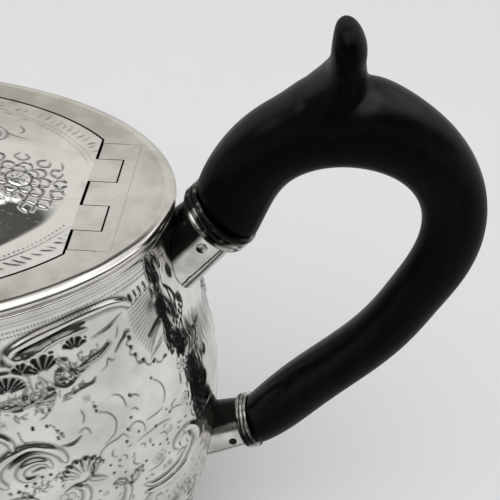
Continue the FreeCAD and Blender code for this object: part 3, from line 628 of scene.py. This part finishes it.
def close_ends(bm):
    """Cap the open outlines with faces that keep a sharp edge."""
    bmesh.ops.remove_doubles(bm, verts=bm.verts, dist=1e-7)
    edges = [edge for edge in bm.edges if edge.is_boundary]
    for edge in edges:
        edge.smooth = False
    for face in bmesh.ops.holes_fill(bm, edges=edges, sides=0)["faces"]:
        face.smooth = False
    bmesh.ops.recalc_face_normals(bm, faces=bm.faces)


def add_object(name, data):
    obj = bpy.data.objects.new(name, data)
    bpy.context.scene.collection.objects.link(obj)
    return obj


def mesh_object(name, bm):
    mesh = bpy.data.meshes.new(name)
    bm.to_mesh(mesh)
    bm.free()
    return add_object(name, mesh)


def piece(name, bm, material, body, slot, *stands_for):
    obj = mesh_object(name, bm)
    obj.data.materials.append(material)
    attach(obj, body)
    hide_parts(*stands_for)
    return obj


def wire(tree, made, inputs):
    """Set or link a node's sockets, given by label or number."""
    for key, value in inputs.items():
        if isinstance(value, bpy.types.NodeSocket):
            tree.links.new(value, made.inputs[key])
        else:
            made.inputs[key].default_value = value


def node(tree, kind, inputs=None, **settings):
    made = tree.nodes.new(kind)
    for key, value in settings.items():
        setattr(made, key, value)
    wire(tree, made, inputs or {})
    return made


def calc(tree, operation, a, b=0.0, clamp=False):
    return node(tree, "ShaderNodeMath", {0: a, 1: b}, operation=operation, use_clamp=clamp).outputs[0]


def total(tree, base, *shares, clamp=False):
    """A base value plus further values, each times its share."""
    for value, share in shares:
        base = calc(tree, "ADD", base, calc(tree, "MULTIPLY", value, share))
    base.node.use_clamp = clamp
    return base


def vector_node(tree, operation, a, b):
    return node(tree, "ShaderNodeVectorMath", {0: a, 1: b}, operation=operation).outputs["Value"]


def ramp(tree, value, low, high):
    return node(tree, "ShaderNodeMapRange", {"Value": value, "From Min": low, "From Max": high}).outputs[0]


def mix_colour(tree, share, a, b):
    return node(tree, "ShaderNodeMix", {0: share, 6: a, 7: b}, data_type="RGBA").outputs[2]


def noise(tree, at, scale, detail, stretch=None, turn=None):
    if stretch:
        at = node(tree, "ShaderNodeMapping", {"Vector": at, "Scale": stretch, "Rotation": turn}).outputs[0]
    return node(tree, "ShaderNodeTexNoise", {"Vector": at, "Scale": scale, "Detail": detail}).outputs[0]


def silver_group():
    """Worn silver: clouded tarnish, stains, fine cleaning scratches, and black where a mask says so, which
    paints shade and dark reflections as well as oxide.
    """
    tree = bpy.data.node_groups.new("worn_silver_and_painted_shade", "ShaderNodeTree")
    for label, kind in (("Place", "Vector"), ("Painted_shade_and_oxide", "Float"), ("Tarnish", "Float"), ("Polish", "Float")):
        tree.interface.new_socket(label, in_out="INPUT", socket_type="NodeSocket" + kind)
    for label, kind in (("Colour", "Color"), ("Roughness", "Float"), ("Height", "Float")):
        tree.interface.new_socket(label, in_out="OUTPUT", socket_type="NodeSocket" + kind)
    given = tree.nodes.new("NodeGroupInput")
    out = tree.nodes.new("NodeGroupOutput")
    place = given.outputs["Place"]
    cloud = ramp(tree, noise(tree, place, 60, 5), 0.38, 0.72)
    drift = ramp(tree, noise(tree, place, 190, 4), 0.4, 0.7)
    cloud = total(tree, given.outputs["Tarnish"], (cloud, 0.5), (drift, 0.3), clamp=True)
    stain = calc(tree, "MULTIPLY", ramp(tree, noise(tree, place, 110, 4), 0.64, 0.74), 0.3)
    speck = noise(tree, place, 1500, 2)
    scratch = 0.0
    for turn in ((0.3, 0.2, 0.5), (1.1, 0.4, -0.7), (-0.5, 0.9, 1.9)):
        streak = noise(tree, place, 1.0, 1, (60, 4200, 4200), turn)
        scratch = calc(tree, "MAXIMUM", ramp(tree, streak, 0.72, 0.82), scratch)
    clean = mix_colour(tree, cloud, CLEAN_SILVER, DULL_SILVER)
    patchy = calc(tree, "MULTIPLY", ramp(tree, noise(tree, place, 420, 2), 0.05, 0.36), 1.2)
    painted_shade_and_oxide = calc(tree, "MULTIPLY", given.outputs["Painted_shade_and_oxide"], patchy, True)
    painted_shade_and_oxide = calc(tree, "MAXIMUM", painted_shade_and_oxide, stain)
    colour = mix_colour(tree, painted_shade_and_oxide, clean, BLACK_SHADE_AND_OXIDE)
    rough = total(tree, given.outputs["Polish"], (cloud, 0.07), (scratch, 0.07), (painted_shade_and_oxide, 0.2), clamp=True)
    height = total(tree, 0.0, (scratch, -0.05), (speck, 0.02), (noise(tree, place, 70, 1), 6.0))
    wire(tree, out, {"Colour": colour, "Roughness": rough, "Height": height})
    return tree


def new_material(name):
    material = bpy.data.materials.new(name)
    material.use_nodes = True
    return material, material.node_tree, material.node_tree.nodes["Principled BSDF"]


def silver(name, polish, tint=0.0, bright=None, seam_and_reflection=None, clean=0.0):
    """Silver finish: an attribute paints shade into chased hollows, tint adds patchy oxide, the seam draws a
    dark line and paints a dark reflection on the far side of its plane, bright is the middle of a paler, less
    tarnished spot, and clean takes more tarnish off a finish with such a spot."""
    material, tree, shader = new_material(name)
    place = node(tree, "ShaderNodeTexCoord").outputs["Object"]
    # Painted shade in the chased hollows and lines, carried by the wall's and lid's meshes.
    mask = node(tree, "ShaderNodeAttribute", attribute_name="painted_shade_and_oxide").outputs["Fac"]
    if tint:
        mask = total(tree, mask, (ramp(tree, noise(tree, place, 190, 4), 0.3, 0.62), tint), clamp=True)
    if seam_and_reflection:
        facing, distance, far_side = seam_and_reflection
        lean = calc(tree, "SUBTRACT", vector_node(tree, "DOT_PRODUCT", place, facing), distance)
        lean = total(tree, lean, (noise(tree, place, 500, 3), 0.0008))
        # A dark line along the seam itself, and the far side painted dark: a painted reflection of the dark
        # room and handle.
        line = ramp(tree, calc(tree, "ABSOLUTE", lean), 0.00035, 0.00012)
        dark = calc(tree, "MULTIPLY", ramp(tree, lean, *far_side), 0.93)
        mask = calc(tree, "MAXIMUM", calc(tree, "MAXIMUM", line, dark), mask)
    tarnish = 0.15
    if bright:
        gap = vector_node(tree, "DISTANCE", place, bright)
        tarnish = total(tree, -clean, (ramp(tree, gap, 0.01, 0.034), 0.42))
    silver_and_shade = node(tree, "ShaderNodeGroup", node_tree=WORN_AND_SHADED_SILVER)
    wire(tree, silver_and_shade, {"Place": place, "Painted_shade_and_oxide": mask, "Tarnish": tarnish, "Polish": polish})
    relief = {"Height": silver_and_shade.outputs["Height"], "Strength": 1.0, "Distance": 0.0001}
    dents = node(tree, "ShaderNodeBump", relief)
    wire(tree, shader, {"Base Color": silver_and_shade.outputs["Colour"], "Roughness": silver_and_shade.outputs["Roughness"],
                        "Normal": dents.outputs[0], "Metallic": 1.0})
    return material


def ebony(name):
    """Black wood: dense straight grain with faint brown streaks, and a clear coat on upward faces that paints
    a sheen of the light from above.
    """
    material, tree, shader = new_material(name)
    place = node(tree, "ShaderNodeTexCoord").outputs["Object"]
    grain = noise(tree, place, 1.0, 5, (420, 420, 26), (0, -0.85, 0))
    pores = ramp(tree, noise(tree, place, 1.0, 2, (2600, 2600, 120), (0, -0.85, 0)), 0.62, 0.72)
    cloud = noise(tree, place, 60, 3)
    streak = calc(tree, "MULTIPLY", ramp(tree, grain, 0.5, 0.78), ramp(tree, cloud, 0.35, 0.7))
    # Painted sheen: the coat's weight comes from the mesh's sheen attribute, strong on upward faces.
    painted_sheen = node(tree, "ShaderNodeAttribute", attribute_name="painted_sheen").outputs["Fac"]
    rough = total(tree, 0.3, (cloud, 0.16), (streak, 0.1))
    relief = {"Height": total(tree, 0.0, (pores, -0.7), (grain, 0.5)), "Strength": 0.22, "Distance": 0.00012}
    fine = node(tree, "ShaderNodeBump", relief)
    wire(tree, shader, {"Base Color": mix_colour(tree, streak, BLACK_WOOD, BROWN_STREAK), "Roughness": rough,
                        "Normal": fine.outputs[0], "Coat Weight": calc(tree, "MULTIPLY", painted_sheen, 0.42),
                        "Coat Roughness": 0.27, "Specular IOR Level": 0.04})
    return material


WORN_AND_SHADED_SILVER = silver_group()
POLISHED = silver("polished_silver_finish", 0.1)
DECKED = silver("deck_silver_finish", 0.1, bright=PALE_SPOT, clean=-0.12)
CHASED = silver("chased_silver_and_painted_shade", 0.08)
ON_LID = silver("lid_silver_and_painted_shade", 0.08, bright=PALE_SPOT, clean=0.3)
SOLDERED = silver("soldered_silver_finish", 0.16, 0.8)
DARKENED = silver("darkened_silver_finish", 0.14, 2.4)
REEDED = silver("reeded_silver_finish", 0.14, 1.1)
UPPER = silver("upper_socket_silver_and_reflection", 0.13, 0.2, seam_and_reflection=UPPER_SEAM_AND_REFLECTION)
LOWER = silver("lower_socket_silver_and_reflection", 0.13, 0.2, seam_and_reflection=LOWER_SEAM_AND_REFLECTION)
LINING = silver("pot_inside_finish", 0.3, 0.9)
EBONY = ebony("ebony_with_painted_sheen")


def chased_wall():
    """The wall in three pieces: one quarter each side of the handle, and the spout's half."""
    chase = chase_wall()
    plain = steps((0, 0.72), QUARTER)
    rough = steps((FOOT_TOP, 0.75), (38, 0.42), WALL_TOP)
    fine = steps((FOOT_TOP, 0.9), (42, 0.24), WALL_TOP)
    parts = {"chased_wall_near_quarter": (steps((0, 0.5), (8, 0.24), (61, 0.8), QUARTER), fine),
             "chased_wall_far_quarter": (-plain[::-1], rough),
             "chased_wall_spout_half": (np.concatenate([QUARTER + plain, 2 * QUARTER + plain[1:]]), rough)}
    made = []
    for name, (around, outer) in parts.items():
        inner = np.linspace(WALL_TOP, FOOT_TOP, 14)
        heights = np.concatenate([outer, inner, outer[:1]])
        face = np.concatenate([np.ones(len(outer)), np.zeros(len(inner)), [1]])

        def fold(i):
            s = np.abs(around[i])
            return np.minimum(s, np.abs(2 * QUARTER - s)), s

        def seats(i, j):
            near, s = fold(i)
            z = heights[j]
            handle = np.maximum(keep_clear(near, z, *UPPER_SEAT), keep_clear(near, z, *LOWER_SEAT))
            return np.where(s < QUARTER, handle, keep_clear(near, z, *SPOUT_SEAT))

        def inward(i, j):
            near, _ = fold(i)
            height = chase.sample(chase.height, near, heights[j])
            return np.where(face[j] > 0, height * (1 - seats(i, j)), -WALL)

        # Painted shade from the chased map on the outer face, and a flat 0.25 on the inner face.
        def painted_shade_and_oxide(i, j):
            near, _ = fold(i)
            return np.where(face[j] > 0, chase.sample(chase.dark, near, heights[j]) * (1 - seats(i, j)), 0.25)

        def place(i, j):
            return on_wall(around[i], heights[j], inward(i, j))

        bm = grid_mesh(len(around), len(heights), place, {"painted_shade_and_oxide": painted_shade_and_oxide})
        close_ends(bm)
        made.append(piece(name, bm, CHASED, "pot", "chased_silver", "body_shell"))
    drill_strainer(made[2])


def drill_strainer(wall):
    """Pierce the wall behind the spout with rings of holes."""
    bm = bmesh.new()
    for ring in range(3):
        holes = max(1, 6 * ring)
        for k in range(holes):
            a = 2 * math.pi * k / holes
            reach = HOLE_PITCH * ring
            at = Vector((SPOUT_WALL, reach * math.cos(a), SPOUT_SEAT[2] + reach * math.sin(a))) * MM
            drill = bmesh.ops.create_cone(bm, cap_ends=True, segments=20, radius1=HOLE_RADIUS * MM,
                                          radius2=HOLE_RADIUS * MM, depth=12 * MM)["verts"]
            bmesh.ops.rotate(bm, verts=drill, matrix=Matrix.Rotation(math.pi / 2, 3, "Y"))
            bmesh.ops.translate(bm, verts=drill, vec=at)
    drill = mesh_object("strainer_drill", bm)
    cut = wall.modifiers.new("strainer", "BOOLEAN")
    cut.object = drill
    cut.operation = "DIFFERENCE"
    cut.solver = "EXACT"
    apply_modifiers(wall)
    bpy.data.objects.remove(drill)


def apply_modifiers(obj):
    bpy.context.view_layer.update()
    shaped = bpy.data.meshes.new_from_object(obj.evaluated_get(bpy.context.evaluated_depsgraph_get()))
    obj.modifiers.clear()
    obj.data = shaped


def arc(centre, half_out, half_up, first, last, count):
    a = np.radians(np.linspace(first, last, count))
    return [(centre[0] + half_out * math.cos(t), centre[1] + half_up * math.sin(t)) for t in a]


def rim():
    """Rim moulding with the bead under it, swept round the rim's oval from a closed outline."""
    shoulder = arc((-2.4, DECK - 1.3), 2.4, 1.3, -38, 90, 22)
    bead = arc((-0.85, 101.75), 0.5, 0.45, -80, 80, 9)
    profile = [(-3.6, WALL_TOP), (-0.95, WALL_TOP)] + bead + [(-0.8, 102.4)] + shoulder
    profile += [(-2.45, DECK), (-2.45, DECK - 1.0), (-3.6, DECK - 1.0)]
    bm = bmesh.new()
    ring = [bm.verts.new((1 + out * MM, 0, z * MM)) for out, z in profile]
    outline = [bm.edges.new((a, b)) for a, b in zip(ring, ring[1:] + ring[:1])]
    bmesh.ops.spin(bm, geom=ring + outline, cent=(0, 0, 0), axis=(0, 0, 1), angle=2 * math.pi, steps=480,
                   use_merge=True)
    for vert in bm.verts:
        out = math.hypot(vert.co.x, vert.co.y) - 1
        a = math.atan2(vert.co.y, vert.co.x)
        vert.co = ((RIM_X * MM + out) * math.cos(a), (RIM_Y * MM + out) * math.sin(a), vert.co.z)
    bmesh.ops.recalc_face_normals(bm, faces=bm.faces)
    for face in bm.faces:
        face.smooth = True
    for edge in bm.edges:
        edge.smooth = edge.calc_face_angle(0) < math.radians(50)
    piece("rim_moulding_swept", bm, POLISHED, "pot", "polished_silver", "rim_moulding")


def dome(x, y):
    """Height of the lid's plain face above the deck."""
    low = np.zeros_like(x)
    high = np.full_like(x, 1.4)
    for _ in range(30):
        u = (low + high) / 2
        half_x = DOME_TOP + (DOME_X - DOME_TOP) * u
        half_y = DOME_TOP + (DOME_Y - DOME_TOP) * u
        outside = (x / half_x) ** 2 + (y / half_y) ** 2 > 1
        low = np.where(outside, u, low)
        high = np.where(outside, high, u)
    return DOME_RISE * np.clip(1 - low ** 2, 0, 1) ** 1.5


def lid_line(share, first, last, count=24):
    """Line at a share of the lid's oval, between two angles."""
    return arc((0, 0), LID_X * share, LID_Y * share, first, last, count)


def chase_lid():
    c = Chasing(np.arange(-61, 61.3, MAP_PITCH), np.arange(-37, 37.3, MAP_PITCH), 0.0)
    far, aside = LID_FLOWER
    for end in (1, -1):
        c.flower((far * end, aside), 6.2, 9, 0.2, 8)
        c.flower((far * end, aside + 0.2), 4.4, 7, 0.3, 0)
        c.boss((far * end, aside + 0.3), 2.5, 0.4, 14)
        for at in ((35.6, -3.2), (36.8, -4.8), (38.4, -5.4), (40, -5.2), (35, -5), (37.4, -6.6)):
            c.boss((at[0] * end, at[1]), 0.95, 0.34)
        for turn, start, stop in (
            (66, 6.4, 9.4), (36, 6.6, 9.2), (10, 6.6, 9.4), (-14, 6.8, 9.8), (-40, 6.6, 9.6), (-64, 6.4, 9.4),
            (100, 6.6, 9.8), (134, 6.6, 10),
        ):
            a = math.radians(turn)
            for lean in (-0.17, 0.17):
                petal = [(start, a), ((start + stop) / 2, a + lean), (stop, a + 0.3 * lean)]
                line = [((far + r * math.cos(w)) * end, aside + r * math.sin(w)) for r, w in petal]
                c.cut(line, 0.5, 0.2, 0.25, 0.75)
        for line in (
            [(30, 20), (33, 17.4), (36.6, 16.8)],
            [(33, 22.6), (34.6, 20.6), (34, 18.6)],
            [(45.4, 9.6), (46, 8), (46.2, 6.4)],
        ):
            c.cut([(x * end, y) for x, y in line], 0.4, 0.2)
    for side in (1, -1):
        for x, y, turn in ((0, 25.5, 0), (16, 24, -12), (-16, 24, 12), (29, 20, -28), (-29, 20, 28)):
            c.band(c_line((x, y * side), 10, turn * side, flip=-side), 0.7, 0.14, 0.4)
        for x in (-8, 8, 23, -23):
            c.flower((x, side * (22.6 - 0.006 * x * x)), 2.6, 6, 0.28)
            c.leaf([(x + 1.5, side * 19), (x + 4, side * 17.4), (x + 6.6, side * 17.8)], 1.3, 0.22)
    rng = np.random.default_rng(3)
    for first, last in ((19, 176), (184, 341)):
        c.cut(lid_line(0.905, first, last, 60), 0.3, 0.08, 0, 0.25)
        c.dots(lid_line(0.885, first, last), 0.95, 0.27, 0.1, 0.6)
        for a in np.arange(first + 1, last - 4, 2.3):
            lean = rng.uniform(0.4, 3.2)
            shares = (rng.uniform(0.915, 0.93), 0.95, rng.uniform(0.96, 0.985))
            angles = (a, a + 0.3 * lean, a + lean)
            stroke = [lid_line(share, turn, turn, 1)[0] for share, turn in zip(shares, angles)]
            c.cut(stroke, rng.uniform(0.3, 0.5), 0.1, 0.4, rng.uniform(0.15, 0.5))
    return c


def chased_lid():
    chase = chase_lid()
    rays = np.radians(steps((-50, 0.34), (50, 0.97), 310))
    out = steps((STUD_HOLE, 0.8), (27, 0.29), LID_X) / LID_X
    rows = np.concatenate([out, out[::-6], out[:1]])
    top = np.concatenate([np.ones(len(out)), np.zeros(len(rows) - len(out) - 1), [1]])

    def plan(i, j):
        hole = STUD_HOLE / LID_X
        stretch = STUD_HOLE + (LID_Y - STUD_HOLE) * (rows[j] - hole) / (1 - hole)
        return LID_X * rows[j] * np.cos(rays[i]), stretch * np.sin(rays[i])

    def place(i, j):
        x, y = plan(i, j)
        seat = ease((np.hypot(x, y) - KNOB_SEAT) / 2)
        worked = dome(x, y) + chase.sample(chase.height, x, y) * seat * ease((LID_CUT - x) / 1.5)
        return np.stack([x, y, DECK + np.where(top[j] > 0, worked, dome(x, y) - LID_SHEET)], -1)

    # Painted shade from the chased map on the top face.
    def painted_shade_and_oxide(i, j):
        return top[j] * chase.sample(chase.dark, *plan(i, j))

    bm = grid_mesh(len(rays), len(rows), place, {"painted_shade_and_oxide": painted_shade_and_oxide})
    bmesh.ops.remove_doubles(bm, verts=bm.verts, dist=1e-7)
    geometry = bm.verts[:] + bm.edges[:] + bm.faces[:]
    bmesh.ops.bisect_plane(bm, geom=geometry, plane_co=(LID_CUT * MM, 0, 0), plane_no=(1, 0, 0),
                           clear_outer=True, dist=1e-8)
    close_ends(bm)
    for edge in bm.edges:
        if edge.calc_face_angle(0) > math.radians(55):
            edge.smooth = False
    piece("chased_lid", bm, ON_LID, "lid", "chased_silver", "lid_plate")


def carved_handle():
    """The grip and thumb rest as one carved form, softened where they meet."""
    bm = bmesh.new()
    bm.from_mesh(nodes["handle"].data)
    bmesh.ops.remove_doubles(bm, verts=bm.verts, dist=1e-6)
    obj = piece("carved_handle", bm, EBONY, "pot", "ebonised_wood", "handle")
    remesh = obj.modifiers.new("blend", "REMESH")
    remesh.mode = "VOXEL"
    remesh.voxel_size = GRIP_VOXEL * MM
    remesh.use_smooth_shade = True
    soften = obj.modifiers.new("soften", "SMOOTH")
    soften.factor = 0.5
    soften.iterations = 14
    apply_modifiers(obj)
    obj.data.materials.clear()
    obj.data.materials.append(EBONY)
    carve_thumb_rest(obj.data)


def carve_thumb_rest(mesh):
    """Sweep the grip's top up into the thumb rest and cut the hollow beside its edge."""
    co = np.empty(len(mesh.vertices) * 3)
    mesh.vertices.foreach_get("co", co)
    co = co.reshape(-1, 3) / MM
    x, y, z = co.T
    up = z - DECK
    top = ease((up - 16) / 8) * (1 - ease((up - 29) / 4))
    lift = 1.75 * np.exp(-((x - 95.4) / 3.6) ** 2)
    lift = lift + 1.75 * np.where(x > 101, np.exp(-((x - 106.5) / 8.5) ** 2), 0)
    gap, share, side = nearest(smooth_line(THUMB_EDGE, 10), x, up)
    fuller = 0.2 * ease((up - 31) / 5)
    x = x + (x - x[up > 36].mean()) * fuller
    right = np.where(side < 0, gap, -gap)
    hollow = 1.9 * ease(right / 0.7 + 0.5) * np.clip(1 - right / 9, 0, 1) ** 1.6
    hollow = hollow * ease(share / 0.55) * ease((1 - share) / 0.3)
    co[:, 0] = x
    co[:, 1] = y - np.sign(y) * hollow * ease(np.abs(y) / 4.5)
    co[:, 2] = z + lift * top
    mesh.vertices.foreach_set("co", (co * MM).ravel())
    mesh.update()
    # Painted sheen: upward faces get a clear coat that stands in for the light from above, less in the hollow
    # and at the tip of the thumb rest.
    normal = np.empty(len(co) * 3)
    mesh.vertices.foreach_get("normal", normal)
    sheen = ease((normal.reshape(-1, 3)[:, 2] - 0.12) / 0.55)
    sheen = sheen * (1 - 0.85 * ease(hollow / 1.3)) * (1 - 0.7 * ease((up - 32) / 4))
    mesh.attributes.new("painted_sheen", "FLOAT", "POINT").data.foreach_set("value", sheen)


def dress_cad():
    """Finishes of the pieces that show as they come. The rest are plain polished silver."""
    finish = {"finial_knob": EBONY, "finial_nut": SOLDERED, "upper_socket": UPPER, "lower_socket": LOWER}
    for material, names in (
        (LINING, ("base_plate", "lid_ledge", "lid_bezel")),
        (REEDED, ("upper_collar", "lower_collar")),
        (DARKENED, ("upper_handle_pin", "lower_handle_pin")),
        (DECKED, ("deck_plate", "deck_hinge_leaf", "lid_hinge_leaf")),
    ):
        finish.update(dict.fromkeys(names, material))
    for name, obj in nodes.items():
        for slot in obj.material_slots:
            slot.material = finish.get(name, POLISHED)


def studio():
    bm = bmesh.new()
    bmesh.ops.create_circle(bm, cap_ends=True, radius=4.0, segments=96)
    table = mesh_object("pale_table", bm)
    material, tree, shader = new_material("table_paint")
    place = node(tree, "ShaderNodeTexCoord").outputs["Object"]
    colour = mix_colour(tree, noise(tree, place, 6, 3), *TABLE_PAINT)
    wire(tree, shader, {"Base Color": colour, "Roughness": 0.6})
    table.data.materials.append(material)

    world = bpy.data.worlds.new("studio")
    bpy.context.scene.world = world
    world.use_nodes = True
    tree = world.node_tree
    way = node(tree, "ShaderNodeSeparateXYZ", {0: node(tree, "ShaderNodeTexCoord").outputs["Generated"]})
    sides = []
    for stops in (ROOM_NEAR, ROOM_FAR):
        rise = node(tree, "ShaderNodeValToRGB", {0: way.outputs["Z"]})
        while len(rise.color_ramp.elements) < len(stops):
            rise.color_ramp.elements.new(0.5)
        for element, (at, level) in zip(rise.color_ramp.elements, stops):
            element.position = at
            element.color = (level, level * 0.985, level * 0.945, 1)
        sides.append(rise.outputs[0])
    room = mix_colour(tree, ramp(tree, way.outputs["Y"], -0.1, 0.2), *sides)
    wire(tree, tree.nodes["Background"], {"Color": room, "Strength": ROOM_LEVEL})

    for name, at, size, energy in LAMPS:
        lamp = bpy.data.lights.new(name, "AREA")
        lamp.energy = energy
        lamp.size = size
        obj = add_object(name, lamp)
        obj.location = at
        obj.rotation_euler = (Vector(LAMPS_AIM) - Vector(at)).to_track_quat("-Z", "Y").to_euler()


def camera():
    data = bpy.data.cameras.new("photo_camera")
    data.sensor_width = SENSOR
    data.lens = LENS
    obj = add_object("photo_camera", data)
    obj.location = CAMERA_AT
    obj.rotation_euler = (math.radians(90 - CAMERA_DOWN), 0, math.radians(CAMERA_TURN))
    bpy.context.scene.camera = obj


dress_cad()
chased_wall()
rim()
chased_lid()
carved_handle()
studio()
camera()
bpy.context.scene.view_settings.view_transform = "Standard"

bpy.context.view_layer.update()
